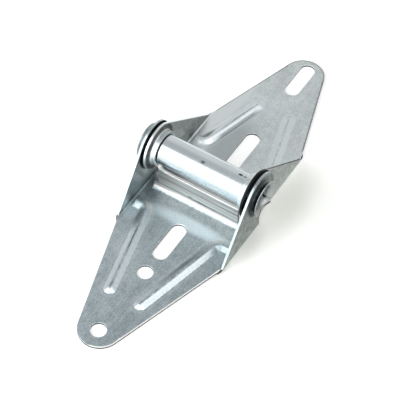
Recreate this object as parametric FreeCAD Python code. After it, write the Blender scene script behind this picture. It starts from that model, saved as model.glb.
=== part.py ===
import FreeCAD, Part
import math
import os
from FreeCAD import Vector as V

# Butt hinge with a roller tube through raised ears
# Origin on the tube axis at mid length, X along the tube, Y along the leaves, Z up
# All sizes in millimetres
os.makedirs("parts", exist_ok=True)

# Sheet and heights
sheet = 1.3
axis_height = 21.3
bend_in = 0.7
bend_out = bend_in + sheet

# Roller tube
tube_r = 6.96
bore_r = 5.76
tube_wall = tube_r - bore_r
flare_curl = 1.45
flare_angle = 86.0
seam_gap = 0.35
seam_angle = -45.0
mouth_w = 1.3
mouth_len = 2.3
flare_flat = 7.3
round_steps = 3

# Ears of the two leaves, by the inner face of each
ear_front_x = 26.1
ear_back_x = 23.65
ear_front_r = 11.3
ear_back_r = 11.1
neck_front_y = 0.6
neck_back_y = 1.0

# Collars drawn on the ears of the back leaf
collar_clear = 0.07
collar_r = 8.3
collar_fillet = 1.3
collar_len = 2.8
collar_lead = 0.5

# Front leaf outline
front_tip_y = -80.6
front_tip_r = 9.8
front_corner = (26.84, -27.3)
front_edge_y = -27.5

# Back leaf outline
back_tip_y = 85.8
back_tip_r = 9.8
back_corner = (24.5, 41.0)
back_edge_y = 39.4
back_end_y = 1.0

# Upturned lip of the front leaf
lip_face_y = -6.0
lip_bend_in = 2.7
lip_top = 13.8
lip_clear = 0.35
foot_rise = 0.6
neck_w = 2.4
neck_relief = 0.4
horn_width = 1.4
horn_rise = 2.0
horn_fillet = 2.6

# Screw holes and slots
hole_r = 3.57
tip_hole_y = -82.0
mid_hole_y = -47.35
slot_len = 21.0
long_slot_len = 26.0
front_slot_y = -28.4
back_slot_y = 30.4
end_slot_y = 82.6

# Stiffening beads
bead_w = 5.8
bead_h = 1.5
bead_turn = 4.2
front_bead_start = (7.7, -62.4)
front_bead_corner = (18.2, -17.9)
back_bead_start = (8.2, 58.5)
back_bead_corner = (17.2, 26.6)
bead_groove_end = 2.6

# Heights of the sheet faces below the axis
z_under = -axis_height
z_top = z_under + sheet

# The lip ends beside the collars, and its foot beside the strips that carry the folds
lip_half = ear_back_x - collar_len - lip_clear
front_fold_x = ear_front_x + sheet - bend_out
foot_half = front_fold_x - neck_w - neck_relief


def box(x0, x1, y0, y1, z0, z1):
    return Part.makeBox(x1 - x0, y1 - y0, z1 - z0, V(x0, y0, z0))


def rod_x(r, x0, x1):
    return Part.makeCylinder(r, x1 - x0, V(x0, 0, 0), V(1, 0, 0))


def face_of(points, arcs=None):
    # Closed face through points, with a mid point for each edge that is an arc
    arcs = arcs or {}
    edges = []
    for i, a in enumerate(points):
        b = points[(i + 1) % len(points)]
        if i in arcs:
            edges.append(Part.Arc(a, arcs[i], b).toShape())
        else:
            edges.append(Part.makeLine(a, b))
    return Part.Face(Part.Wire(edges))


def turned(points, arcs):
    # Solid turned about the X axis from a section whose arcs go in short straight steps
    out = []
    for i, a in enumerate(points):
        out.append(a)
        if i in arcs:
            arc = Part.Arc(a, arcs[i], points[(i + 1) % len(points)])
            span = arc.LastParameter - arc.FirstParameter
            for k in range(1, round_steps):
                out.append(arc.value(arc.FirstParameter + span * k / round_steps))
    return face_of(out).revolve(V(0, 0, 0), V(1, 0, 0), 360)


def tip_tangent(tip_y, tip_r, px, py):
    # Touch point on the right of the tip circle for the line to (px, py)
    dx = px
    dy = py - tip_y
    reach = math.hypot(dx, dy)
    base = math.atan2(dy, dx)
    half = math.acos(tip_r / reach)
    best = None
    for s in (1, -1):
        a = base + s * half
        q = (tip_r * math.cos(a), tip_y + tip_r * math.sin(a))
        if best is None or q[0] > best[0]:
            best = q
    return best


def along(p, q, x):
    # Y of the line p-q at x
    return p[1] + (q[1] - p[1]) * (x - p[0]) / (q[0] - p[0])


def plate(tip_y, tip_r, corner, fold_x, end_y):
    # Flat part of a leaf from its round tip to the fold lines of the ears
    t = tip_tangent(tip_y, tip_r, corner[0], corner[1])
    fold_y = along(t, corner, fold_x)
    far = tip_y - tip_r if tip_y < 0 else tip_y + tip_r
    pts = [V(-t[0], t[1], z_under), V(t[0], t[1], z_under), V(fold_x, fold_y, z_under),
           V(fold_x, end_y, z_under), V(-fold_x, end_y, z_under), V(-fold_x, fold_y, z_under)]
    face = face_of(pts, {0: V(0, far, z_under)})
    return face.extrude(V(0, 0, sheet))


def tangent_at(y0, z0, r):
    # Touch point, on the upper side, of the line from (y0, z0) to the ear's round end
    reach = math.hypot(y0, z0)
    base = math.atan2(z0, y0)
    half = math.acos(r / reach)
    best = None
    for s in (1, -1):
        a = base + s * half
        q = (r * math.cos(a), r * math.sin(a))
        if best is None or q[1] > best[1]:
            best = q
    return best


def ear(side, inner_x, r, edge_y, slant, neck_y):
    # Fold and upright ear on one side of a leaf, cut to its outline
    outer_x = inner_x + sheet
    fold_x = outer_x - bend_out
    fold_y = along(slant[0], slant[1], fold_x)
    z_fold = z_under + bend_out
    d = 1.0 if edge_y > 0 else -1.0
    y0 = min(fold_y, neck_y)
    y1 = max(fold_y, neck_y)
    a = math.sqrt(0.5)
    pts = [V(fold_x, y0, z_under), V(outer_x, y0, z_fold), V(outer_x, y0, r + 1),
           V(inner_x, y0, r + 1), V(inner_x, y0, z_fold), V(fold_x, y0, z_top)]
    arcs = {0: V(fold_x + bend_out * a, y0, z_fold - bend_out * a),
            4: V(fold_x + bend_in * a, y0, z_fold - bend_in * a)}
    section = face_of(pts, arcs).extrude(V(0, y1 - y0, 0))
    web = box(inner_x, outer_x, -r - 1, r + 1, -r - 1, r + 1)
    body = section.fuse(web)
    # Outline in the plane of the ear
    t = tangent_at(edge_y, z_fold + 1.5, r)
    drop = math.sqrt(max(r * r - neck_y * neck_y, 0.0))
    x0 = fold_x - 0.001
    arc_mid = V(x0, -d * r * math.cos(math.radians(20)), r * math.sin(math.radians(20)))
    outline = [V(x0, neck_y, z_under), V(x0, neck_y, -drop), V(x0, t[0], t[1]),
               V(x0, edge_y, z_fold + 1.5), V(x0, edge_y + d * 1.4, z_fold),
               V(x0, fold_y, z_top), V(x0, fold_y, z_under)]
    prism = face_of(outline, {1: arc_mid}).extrude(V(bend_out + 0.002, 0, 0))
    body = body.common(prism)
    # The slanted edge of the leaf runs on through the fold
    far_y = fold_y + d * 6
    x1 = outer_x + 1
    wedge = face_of([V(fold_x, fold_y, z_under - 1), V(x1, along(slant[0], slant[1], x1), z_under - 1),
                     V(x1, far_y, z_under - 1), V(fold_x, far_y, z_under - 1)])
    body = body.cut(wedge.extrude(V(0, 0, bend_out + 2)))
    if side < 0:
        body = body.mirror(V(0, 0, 0), V(1, 0, 0))
    return body


def turn_path(start, corner, end_x, radius):
    # Straight, round turn and straight out to end_x, as points in plan
    sx, sy = start
    cx, cy = corner
    ux = cx - sx
    uy = cy - sy
    n = math.hypot(ux, uy)
    ux /= n
    uy /= n
    turn = math.atan2(uy, ux)
    half = abs(turn) / 2.0
    back = radius * math.tan(half)
    p1 = (cx - ux * back, cy - uy * back)
    p2 = (cx + back, cy)
    s = 1.0 if uy > 0 else -1.0
    centre = (p2[0], p2[1] - s * radius)
    return p1, p2, centre, abs(turn), s


def bead(start, corner, end_x, r, z, round_end):
    # Round bar along the bead's path, its lower part buried in the sheet
    p1, p2, c, turn, s = turn_path(start, corner, end_x, bead_turn)
    d1 = V(p1[0] - start[0], p1[1] - start[1], 0)
    parts = [Part.makeSphere(r, V(start[0], start[1], z)),
             Part.makeCylinder(r, d1.Length, V(start[0], start[1], z), d1),
             Part.makeCylinder(r, end_x - p2[0], V(p2[0], p2[1], z), V(1, 0, 0))]
    ring = Part.Circle(V(p2[0], p2[1], z), V(1, 0, 0), r).toBSpline().toShape()
    disc = Part.Face(Part.Wire(ring))
    parts.append(disc.revolve(V(c[0], c[1], z), V(0, 0, 1), s * math.degrees(turn)))
    if round_end:
        parts.append(Part.makeSphere(r, V(end_x, p2[1], z)))
    out = parts[0]
    for p in parts[1:]:
        out = out.fuse(p)
    return out


def add_beads(leaf, start, corner, ear_inner_x):
    # Pressed beads: a ridge on top and the groove that the press leaves below
    r = (bead_w * bead_w / 4.0 + bead_h * bead_h) / (2.0 * bead_h)
    z = z_top + bead_h - r
    slab = box(-ear_inner_x - 0.6, ear_inner_x + 0.6, -100, 100, z_top - 0.4, z_top + bead_h + 1)
    for side in (1, -1):
        ridge = bead(start, corner, ear_inner_x + 0.6, r, z, False).common(slab)
        groove = bead(start, corner, ear_inner_x - bead_groove_end, r - sheet, z, True)
        if side < 0:
            ridge = ridge.mirror(V(0, 0, 0), V(1, 0, 0))
            groove = groove.mirror(V(0, 0, 0), V(1, 0, 0))
        leaf = leaf.fuse(ridge).cut(groove)
    return leaf


def round_hole(y):
    return Part.makeCylinder(hole_r, 6, V(0, y, z_under - 2))


def slot_hole(y, length):
    half = length / 2.0 - hole_r
    a = Part.makeCylinder(hole_r, 6, V(0, y - half, z_under - 2))
    b = Part.makeCylinder(hole_r, 6, V(0, y + half, z_under - 2))
    m = box(-hole_r, hole_r, y - half, y + half, z_under - 2, z_under + 4)
    return a.fuse(b).fuse(m)


def lip():
    # Upturned lip with its fold and a raised horn at its left end
    lip_out = lip_bend_in + sheet
    yf = lip_face_y
    fold_y = yf - lip_bend_in
    a = math.sqrt(0.5)
    zf = z_top + lip_bend_in
    zt = z_under + lip_top
    x0 = -lip_half
    pts = [V(x0, fold_y, z_under), V(x0, yf + sheet, zf), V(x0, yf + sheet, zt + horn_rise),
           V(x0, yf, zt + horn_rise), V(x0, yf, zf), V(x0, fold_y, z_top)]
    arcs = {0: V(x0, fold_y + lip_out * a, zf - lip_out * a),
            4: V(x0, fold_y + lip_bend_in * a, zf - lip_bend_in * a)}
    section = face_of(pts, arcs)
    body = section.extrude(V(2 * lip_half, 0, 0))
    # Foot of the lip, wider than the lip itself
    foot = section.extrude(V(2 * foot_half, 0, 0))
    foot.translate(V(lip_half - foot_half, 0, 0))
    foot = foot.common(box(-foot_half, foot_half, fold_y - 1, yf + sheet + 1, z_under - 1, zf + foot_rise))
    body = body.fuse(foot)
    # The edge is cut down beside the horn, in a round
    w = horn_width - lip_half
    f = horn_fillet
    y = yf - 1
    top = zt + horn_rise + 1
    turn = math.acos(max(1 - horn_rise / f, -1.0))
    foot_x = w + f * math.sin(turn)
    mid = V(foot_x - f * math.sin(turn / 2), y, zt + f * (1 - math.cos(turn / 2)))
    high = V(w, y, zt + f * (1 - math.cos(turn)))
    dip = face_of([V(w, y, top), high, V(foot_x, y, zt), V(lip_half + 1, y, zt), V(lip_half + 1, y, top)],
                  {1: mid})
    return body.cut(dip.extrude(V(0, sheet + 2, 0)))


def front_leaf():
    lip_fold_y = lip_face_y - lip_bend_in
    leaf = plate(front_tip_y, front_tip_r, front_corner, front_fold_x, lip_fold_y)
    slant = (tip_tangent(front_tip_y, front_tip_r, front_corner[0], front_corner[1]), front_corner)
    # Strips of the plate that carry the folds on past the lip
    for side in (1, -1):
        strip = box(front_fold_x - neck_w, front_fold_x, lip_fold_y, neck_front_y, z_under, z_top)
        if side < 0:
            strip = strip.mirror(V(0, 0, 0), V(1, 0, 0))
        leaf = leaf.fuse(strip)
    for side in (1, -1):
        leaf = leaf.fuse(ear(side, ear_front_x, ear_front_r, front_edge_y, slant, neck_front_y))
    leaf = leaf.fuse(lip())
    leaf = add_beads(leaf, front_bead_start, front_bead_corner, ear_front_x)
    leaf = leaf.cut(round_hole(tip_hole_y)).cut(round_hole(mid_hole_y)).cut(slot_hole(front_slot_y, slot_len))
    leaf = leaf.cut(rod_x(tube_r, -40, 40))
    return leaf.removeSplitter()


def collar(side):
    # Collar drawn inwards from an ear, with the round of the drawing at its root
    x_end = ear_back_x - collar_len
    root = collar_r + collar_fillet
    a = math.sqrt(0.5)
    f = collar_fillet
    lead = collar_lead
    inner = tube_r + collar_clear
    pts = [V(ear_back_x + 0.5, inner, 0), V(ear_back_x + 0.5, root, 0), V(ear_back_x, root, 0),
           V(ear_back_x - f, collar_r, 0), V(x_end + 0.3, collar_r, 0), V(x_end, collar_r - 0.3, 0),
           V(x_end, inner + lead, 0), V(x_end + lead, inner, 0)]
    arcs = {2: V(ear_back_x - f * (1 - a), root - f * a, 0)}
    body = turned(pts, arcs)
    if side < 0:
        body = body.mirror(V(0, 0, 0), V(1, 0, 0))
    return body


def back_leaf():
    fold_x = ear_back_x + sheet - bend_out
    leaf = plate(back_tip_y, back_tip_r, back_corner, fold_x, back_end_y)
    slant = (tip_tangent(back_tip_y, back_tip_r, back_corner[0], back_corner[1]), back_corner)
    for side in (1, -1):
        leaf = leaf.fuse(ear(side, ear_back_x, ear_back_r, back_edge_y, slant, neck_back_y))
    for side in (1, -1):
        leaf = leaf.fuse(collar(side))
    leaf = add_beads(leaf, back_bead_start, back_bead_corner, ear_back_x)
    leaf = leaf.cut(slot_hole(back_slot_y, long_slot_len)).cut(slot_hole(end_slot_y, slot_len))
    leaf = leaf.cut(rod_x(tube_r + collar_clear, -40, 40))
    return leaf.removeSplitter()


def roller_tube():
    # Rolled tube with flared ends and an open seam
    x0 = ear_front_x + sheet + 0.1
    th = math.radians(flare_angle)
    big = flare_curl + tube_wall
    cr = tube_r + flare_curl

    def at(radius, angle, sx):
        return V(sx * (x0 + radius * math.sin(angle)), cr - radius * math.cos(angle), 0)

    pts = [V(-x0, tube_r, 0), V(x0, tube_r, 0), at(flare_curl, th, 1), at(big, th, 1), V(x0, bore_r, 0),
           V(-x0, bore_r, 0), at(big, th, -1), at(flare_curl, th, -1)]
    arcs = {1: at(flare_curl, th / 2, 1), 3: at(big, th / 2, 1), 5: at(big, th / 2, -1),
            7: at(flare_curl, th / 2, -1)}
    body = turned(pts, arcs)
    reach = x0 + big + 1
    seam = box(-reach, reach, 0, 12, -seam_gap / 2, seam_gap / 2)
    mouth_x = x0 - 1.8
    mouth = box(mouth_x, mouth_x + mouth_len, 0, tube_r + 0.9, -mouth_w / 2, mouth_w / 2)
    for cutter in (seam, mouth, mouth.mirror(V(0, 0, 0), V(1, 0, 0))):
        cutter.rotate(V(0, 0, 0), V(1, 0, 0), seam_angle)
        body = body.cut(cutter)
    body = body.cut(box(x0, reach, -12, 12, -12, -flare_flat))
    return body.removeSplitter()


nodes = {
    "front_leaf": front_leaf(),
    "back_leaf": back_leaf(),
    "roller_tube": roller_tube(),
}
for name, shape in nodes.items():
    if shape.ShapeType == "Compound" and len(shape.Solids) == 1:
        shape = shape.Solids[0]
    shape.exportStep("parts/%s.step" % name)
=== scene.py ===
"""Looks of a pressed-steel roller hinge, dressed over its packed frame"""

import math
from types import SimpleNamespace

import bpy
import numpy as np
from mathutils import Matrix, Vector


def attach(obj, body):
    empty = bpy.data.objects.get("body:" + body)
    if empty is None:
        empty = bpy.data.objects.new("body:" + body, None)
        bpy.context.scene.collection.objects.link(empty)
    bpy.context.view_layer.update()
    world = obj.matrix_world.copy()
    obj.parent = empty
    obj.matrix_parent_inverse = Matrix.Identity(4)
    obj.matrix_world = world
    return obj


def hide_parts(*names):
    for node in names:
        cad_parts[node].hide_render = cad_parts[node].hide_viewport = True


bl_info = {
    "name": "Roller hinge",
    "version": (1, 0, 0),
    "blender": (4, 5, 0),
    "location": "View3D > Sidebar > Hinge",
    "description": "Builds a roller hinge of pressed sheet steel and its stage",
    "category": "Add Mesh",
}

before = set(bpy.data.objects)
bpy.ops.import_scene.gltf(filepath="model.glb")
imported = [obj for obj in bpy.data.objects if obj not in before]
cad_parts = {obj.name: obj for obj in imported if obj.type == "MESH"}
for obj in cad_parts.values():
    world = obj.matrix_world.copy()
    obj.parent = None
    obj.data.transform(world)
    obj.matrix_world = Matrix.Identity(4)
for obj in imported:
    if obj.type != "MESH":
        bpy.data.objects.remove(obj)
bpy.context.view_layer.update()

# Usual step between the points of a grid, and a slack for comparing places, in millimetres
STEP = 0.6
SLACK = 1e-4

# Least length that is divided by, and a distance that stands for out of reach
TINY = 1e-12
FAR = 9.0

UP = (0, 0, 1)
INWARD = (-1, 0, 0)


def number(name, text, value, **settings):
    """A number property"""
    return bpy.props.FloatProperty(name=name, description=text, default=value, precision=5, **settings)


def size(name, text, millimetres):
    """A length property, given in millimetres and kept in metres"""
    return number(name, text, millimetres / 1000, unit="LENGTH")


def level(name, text, value):
    """A plain number from 0 upwards"""
    return number(name, text, value, min=0.0)


def turn(name, text, degrees):
    """An angle property, given in degrees"""
    return number(name, text, math.radians(degrees), unit="ROTATION")


def tint(name, text, value):
    """A colour property"""
    return bpy.props.FloatVectorProperty(name=name, description=text, default=value, size=3,
                                         subtype="COLOR", min=0.0, max=1.0)


class HingeSheet(bpy.types.PropertyGroup):
    """The steel sheet that both leaves are pressed from"""
    thickness: size("Thickness", "Thickness of the sheet", 1.3)
    arris: size("Arris", "Round of the cut edges", 0.2)
    bend: size("Ear bend", "Inner radius of the folds of the ears", 0.7)
    top: size("Top face", "Height of the plates' top face, from the axis", -20.0)
    bead_half: size("Bead half width", "Half width of a bead at its foot", 3.35)
    bead_rise: size("Bead height", "Height of a bead above the plate", 1.5)
    bead_turn: size("Bead turn", "Radius of a bead's turn in plan", 4.2)
    bead_fade: size("Bead fade", "Length over which a bead dies out at the fold", 1.0)


class HingeFront(bpy.types.PropertyGroup):
    """Front leaf, with the outer ears and the lip"""
    tip_y: size("Tip centre", "Distance of the tip's centre from the axis", 80.6)
    tip_r: size("Tip radius", "Radius of the round tip", 9.8)
    corner_x: size("Corner across", "Half width where the slanted edges end", 26.84)
    corner_y: size("Corner along", "Distance of that corner from the axis", 27.3)
    ear_x: size("Ear face", "Inner face of the ears", 26.1)
    ear_r: size("Ear radius", "Radius of the round end of the ears", 11.28)
    edge_y: size("Ear edge", "Where the slanted edge of an ear meets its fold", 27.5)
    neck_y: size("Neck", "End of the ears' necks", -0.6)
    hole_r: size("Hole radius", "Radius of the screw holes", 3.57)
    tip_hole_y: size("Tip hole", "Place of the hole in the tip", 82.0)
    mid_hole_y: size("Middle hole", "Place of the hole in mid leaf", 47.35)
    slot_y: size("Slot", "Place of the slot's centre", 28.4)
    slot_length: size("Slot length", "Length of the slot", 21.0)
    bead_x0: size("Bead start across", "Start of a bead near the tip", 7.7)
    bead_y0: size("Bead start along", "Start of a bead near the tip", 62.4)
    bead_x1: size("Bead corner across", "Corner of a bead", 18.2)
    bead_y1: size("Bead corner along", "Corner of a bead", 17.9)


class HingeLip(bpy.types.PropertyGroup):
    """Upturned lip of the front leaf"""
    face_y: size("Face", "Distance of the lip's face from the axis", 6.0)
    bend: size("Bend", "Inner radius of the lip's bend", 2.7)
    top: size("Top", "Height of the lip's top edge, from the axis", -7.5)
    half: size("Half width", "Half width of the lip", 20.5)
    foot_half: size("Foot half width", "Half width of the lip's foot", 22.6)
    foot_rise: size("Foot height", "Height of the foot above the bend", 0.6)
    strip_x: size("Side strips", "Inner edge of the strips beside the foot", 23.0)
    horn_width: size("Horn width", "Width of the raised left end", 1.3)
    horn_rise: size("Horn height", "Height of the raised left end", 2.6)
    horn_round: size("Horn fillet", "Round at the foot of the raised end", 2.7)
    horn_lean: size("Horn lean", "How far the raised end leans forward", 0.6)


class HingeBack(bpy.types.PropertyGroup):
    """Back leaf, with the inner ears and their collars"""
    tip_y: size("Tip centre", "Distance of the tip's centre from the axis", 85.8)
    tip_r: size("Tip radius", "Radius of the round tip", 9.8)
    corner_x: size("Corner across", "Half width where the slanted edges end", 24.5)
    corner_y: size("Corner along", "Distance of that corner from the axis", 41.0)
    ear_x: size("Ear face", "Inner face of the ears", 23.65)
    ear_r: size("Ear radius", "Radius of the round end of the ears", 11.1)
    edge_y: size("Ear edge", "Where the slanted edge of an ear meets its fold", 39.4)
    neck_y: size("Neck", "End of the leaf beside the tube", 1.0)
    hole_r: size("Slot half width", "Half width of the slots", 3.57)
    mid_slot_y: size("Middle slot", "Place of the middle slot's centre", 30.4)
    mid_slot_length: size("Middle slot length", "Length of the middle slot", 26.0)
    end_slot_y: size("End slot", "Place of the end slot's centre", 82.6)
    end_slot_length: size("End slot length", "Length of the end slot", 21.0)
    bead_x0: size("Bead start across", "Start of a bead near the tip", 8.2)
    bead_y0: size("Bead start along", "Start of a bead near the tip", 58.5)
    bead_x1: size("Bead corner across", "Corner of a bead", 17.2)
    bead_y1: size("Bead corner along", "Corner of a bead", 26.6)
    collar_r: size("Collar radius", "Outer radius of the collars", 8.3)
    collar_round: size("Collar fillet", "Round at the root of the collars", 1.3)
    collar_length: size("Collar length", "Length of the collars from the ear's face", 2.8)


class HingeTube(bpy.types.PropertyGroup):
    """Rolled tube that is the pin and takes the roller's stem"""
    radius: size("Radius", "Outer radius of the tube", 6.96)
    wall: size("Wall", "Thickness of the tube's wall", 1.2)
    straight: size("Straight half", "Half length between the flares", 27.35)
    curl: size("Curl", "Radius of the flare's curl", 2.5)
    sweep: turn("Sweep", "Angle of the flare's curl", 70.0)
    rim_wall: size("Rim wall", "Thickness of the wall at the flare's rim", 0.5)
    flat: size("Flat", "Height, below the axis, of the flat on the flares", 7.3)
    seam: turn("Seam", "Place of the open seam round the tube", -45.0)
    gap: size("Seam gap", "Gap of the seam", 0.35)
    mouth: size("Mouth width", "Gap of the seam at the ends", 1.3)
    mouth_length: size("Mouth length", "Length of the wide part of the seam", 2.3)
    mouth_back: size("Mouth place", "Start of the wide part, back from the flare", 1.65)
    rim_gap: size("Rim gap", "Gap of the seam at the flare's rim", 2.2)


class HingeFinish(bpy.types.PropertyGroup):
    """Colours and gloss of the zinc finish, and colours of the highlights, sheen and shade painted on it"""
    leaf_colour: tint("Leaf", "Zinc on the leaves", (0.26, 0.315, 0.34))
    leaf_light: tint("Leaf, light", "Lighter patches on the leaves", (0.51, 0.585, 0.61))
    # Painted light: the back leaf's zinc is lighter than the front's, for the brighter surroundings it
    # mirrors
    back_lit_colour: tint("Back leaf", "Zinc on the back leaf", (0.44, 0.485, 0.49))
    back_lit_light: tint("Back leaf, light", "Lighter patches on the back leaf", (0.68, 0.73, 0.735))
    # Lighter zinc on the beads: polish on their flanks, and a painted highlight along their feet
    polish_and_highlight_colour: tint("Rubbed zinc", "Zinc polished by the press", (0.55, 0.60, 0.615))
    # Dull zinc on the ears, darkened further as painted shade
    dull_and_shade_colour: tint("Dull zinc", "Dull zinc on the ears", (0.20, 0.21, 0.19))
    lip_colour: tint("Lip", "Bare greyer zinc on the lip", (0.64, 0.605, 0.565))
    # Painted highlight: pale colour, nearly not metal, on bright cut faces and arrises
    cut_highlight_colour: tint("Fresh cut", "Bright cut face of the horn", (0.95, 0.94, 0.92))
    # Painted highlight: pale colour on the left flare and in the right bore
    flare_highlight_colour: tint("Flare", "Bright outside of the left flare", (0.88, 0.92, 0.95))
    bore_colour: tint("Bore", "Dull inside of the tube", (0.46, 0.47, 0.46))
    # Painted shade: colour of the darker patch beside the tube
    shade_patch_colour: tint("Dull patch", "Darker patch beside the tube", (0.36, 0.405, 0.415))
    # Painted sheen: lighter zinc that stands for a reflection on the plate
    painted_sheen_colour: tint("Polish", "Zinc polished in front of the lip", (0.73, 0.83, 0.87))
    tube_colour: tint("Tube", "Zinc on the tube", (0.49, 0.545, 0.565))
    tube_light: tint("Tube, light", "Lighter streaks on the tube", (0.59, 0.64, 0.66))
    cut_colour: tint("Cut edge", "Torn part of the cut edges", (0.05, 0.042, 0.035))
    mark_colour: tint("Marks", "Scratches and dirt", (0.015, 0.016, 0.017))
    leaf_gloss: level("Leaf roughness", "Roughness of the leaves", 0.36)
    tube_gloss: level("Tube roughness", "Roughness of the tube", 0.26)


class HingeStage(bpy.types.PropertyGroup):
    """Camera, floor and lamps"""
    azimuth: turn("Azimuth", "Turn of the camera round the object", 31.685)
    elevation: turn("Elevation", "Height of the camera over the object", 52.483)
    roll: turn("Roll", "Roll of the camera", 0.974)
    distance: size("Distance", "Distance of the camera from the plates", 708.2)
    target_y: size("Target", "Place along the hinge that the camera turns round", -2.236)
    lens: level("Lens", "Focal length in millimetres", 145.16)
    shift_x: number("Shift across", "Shift of the view across, as a share of its width", -0.00545)
    shift_y: number("Shift up", "Shift of the view upwards, as a share of its width", 0.007475)
    floor_colour: tint("Floor", "Colour of the floor", (0.80, 0.802, 0.775))
    key_power: level("Key lamp", "Power of the large lamp in front in watts", 15.5)
    side_power: level("Side lamp", "Power of the small lamp at the right in watts", 2.4)
    fill: level("Fill", "Brightness of the surroundings as light", 0.20)
    ceiling: level("Ceiling", "Brightness of the surroundings overhead, beside 1 at the horizon", 0.68)
    floor_seen: level("Floor glow", "Light that the floor adds to what the camera sees", 0.50)
    floor_mirrored: level("Floor glow in metal", "Light that the floor adds to its reflections", 0.85)


GROUPS = {
    "hinge_sheet": HingeSheet,
    "hinge_front": HingeFront,
    "hinge_lip": HingeLip,
    "hinge_back": HingeBack,
    "hinge_tube": HingeTube,
    "hinge_finish": HingeFinish,
    "hinge_stage": HingeStage,
}


def sizes(name):
    """The properties of one group in millimetres, and its angles in radians"""
    group = getattr(bpy.context.scene, name)
    out = {}
    for key in type(group).__annotations__:
        unit = group.bl_rna.properties[key].unit
        value = getattr(group, key)
        out[key] = value * 1000 if unit == "LENGTH" else value
    return SimpleNamespace(**out)


# Points and grids, in millimetres


def even(a, b, step):
    """Values from a to b, both included, at most a step apart"""
    count = max(2, int(math.ceil(abs(b - a) / step)) + 1)
    return np.linspace(a, b, count)


def merged(needed, fill, gap=0.15):
    """Sorted values that hold all needed ones, and those of fill that keep clear of them"""
    needed = np.unique(np.round(needed, 4))
    clear = np.abs(fill[:, None] - needed[None, :]).min(axis=1) > gap
    return np.sort(np.concatenate([needed, fill[clear]]))


def ease(t):
    """Smooth step: 3t^2 - 2t^3 between 0 and 1"""
    t = np.clip(t, 0.0, 1.0)
    return t * t * (3 - 2 * t)


def stack(x, y, z):
    """One grid of points from its three coordinates"""
    x, y, z = np.broadcast_arrays(x, y, z)
    return np.stack([x, y, z], axis=-1).astype(float)


class Sheet:
    """A surface made of grids, to be given a thickness"""

    def __init__(self):
        self.points = []
        self.quads = []
        self.count = 0

    def put(self, points, quads):
        """Keep points and their quads, numbered on from those already there"""
        self.points.append(points)
        self.quads.append(quads + self.count)
        self.count += len(points)

    def add(self, grid, facing, mirrored=True):
        """Add a grid, turned so that its first quad faces the given way, and its mirror image
        on the other side unless it runs right across"""
        n, m = grid.shape[:2]
        index = np.arange(n * m).reshape(n, m)
        quads = np.stack([index[:-1, :-1], index[1:, :-1], index[1:, 1:], index[:-1, 1:]], -1)
        normal = np.cross(grid[1, 1] - grid[0, 0], grid[0, 1] - grid[1, 0])
        if np.dot(normal, facing) < 0:
            quads = quads[..., ::-1]
        points = grid.reshape(-1, 3)
        quads = quads.reshape(-1, 4)
        self.put(points, quads)
        if mirrored:
            self.put(points * np.array([-1.0, 1.0, 1.0]), quads[:, ::-1])

    def arrays(self, flip_y=False):
        """All points and quads, with points that meet made one: those equal to a micrometre,
        rounded off the round numbers on which many of them lie"""
        off_round = 0.000371
        points = np.concatenate(self.points)
        quads = np.concatenate(self.quads)
        if flip_y:
            points = points * np.array([1.0, -1.0, 1.0])
            quads = quads[:, ::-1]
        key = np.round(points + off_round, 3) + 0.0
        _, first, back = np.unique(key, axis=0, return_index=True, return_inverse=True)
        points = points[first]
        return points, back.reshape(-1)[quads]


def face_normals(points, quads):
    """Area-weighted normals of the points of a quad surface"""
    a = points[quads[:, 2]] - points[quads[:, 0]]
    b = points[quads[:, 3]] - points[quads[:, 1]]
    flat = np.cross(a, b)
    out = np.zeros_like(points)
    for k in range(4):
        np.add.at(out, quads[:, k], flat)
    return out / np.maximum(np.linalg.norm(out, axis=1, keepdims=True), TINY)


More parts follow.
